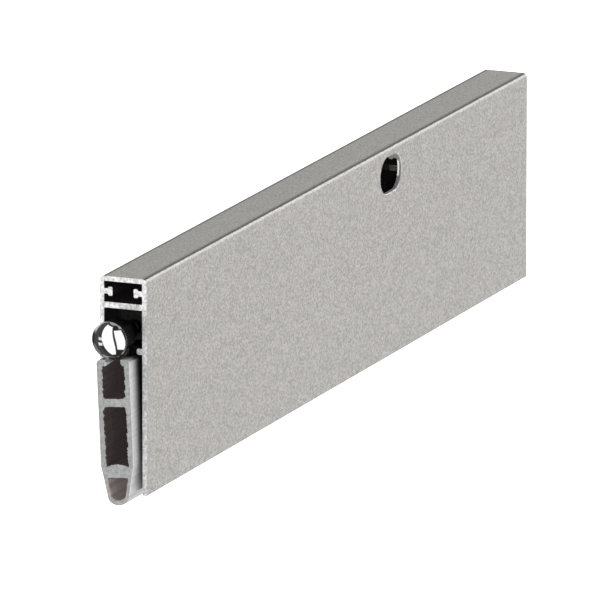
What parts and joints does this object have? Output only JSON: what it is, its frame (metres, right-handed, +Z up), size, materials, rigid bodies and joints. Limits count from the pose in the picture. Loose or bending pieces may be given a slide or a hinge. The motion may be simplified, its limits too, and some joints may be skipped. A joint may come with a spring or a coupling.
{
  "type": "automatic door bottom seal",
  "caption": "Face-fixed drop-down door bottom seal: aluminium case with a hex push button at its end, a push rod with leaf springs inside, and a hollow silicone seal that drops.",
  "frame": {"origin": "axis of the fixing hole, on the face of the case that lies against the door", "axes": "+X along the seal away from the push button, +Y into the door, +Z up; the long front wall looks towards -Y"},
  "size_m": [0.2233, 0.0106, 0.0483],
  "materials": {
    "anodised_aluminium": "fine matt silver anodised, cut ends bright",
    "mill_aluminium": "plain extruded",
    "silicone": "soft matt grey silicone",
    "chrome": "polished plating",
    "steel": "bright zinc plated",
    "spring_steel": "rolled spring strip",
    "black_nylon": "moulded black nylon"
  },
  "bodies": {
    "case": {"case": "anodised_aluminium", "rod_guide": "black_nylon", "spring_anchor_1": "black_nylon", "spring_anchor_2": "black_nylon", "leaf_spring_1": "spring_steel", "leaf_spring_2": "spring_steel", "block_screw_1": "steel", "block_screw_2": "steel", "block_screw_3": "steel"},
    "rod": {"push_rod": "steel", "lock_nut": "steel", "slider_1": "black_nylon", "slider_2": "black_nylon", "slider_pin_1": "steel", "slider_pin_2": "steel"},
    "button": {"push_button": "chrome"},
    "seal": {"seal": "silicone", "carrier": "mill_aluminium", "saddle_1": "steel", "saddle_2": "steel", "rivet_1": "steel", "rivet_2": "steel"}
  },
  "joints": [
    {"name": "button_push", "type": "slide", "parent": "case", "child": "rod", "axis": [1, 0, 0], "range_m": [0, 0.005], "stiffness_N_per_m": 3000, "springref_m": -0.002},
    {"name": "button_adjust", "type": "hinge", "parent": "rod", "child": "button", "pos_m": [-0.13805, -0.00492, -0.00605], "axis": [1, 0, 0], "continuous": true},
    {"name": "seal_drop", "type": "slide", "parent": "case", "child": "seal", "axis": [0, 0, -1], "range_m": [0, 0.01], "deforming": ["leaf_spring_1", "leaf_spring_2"]}
  ],
  "couplings": [
    {"joint": "seal_drop", "follows": "button_push", "ratio": 2}
  ]
}
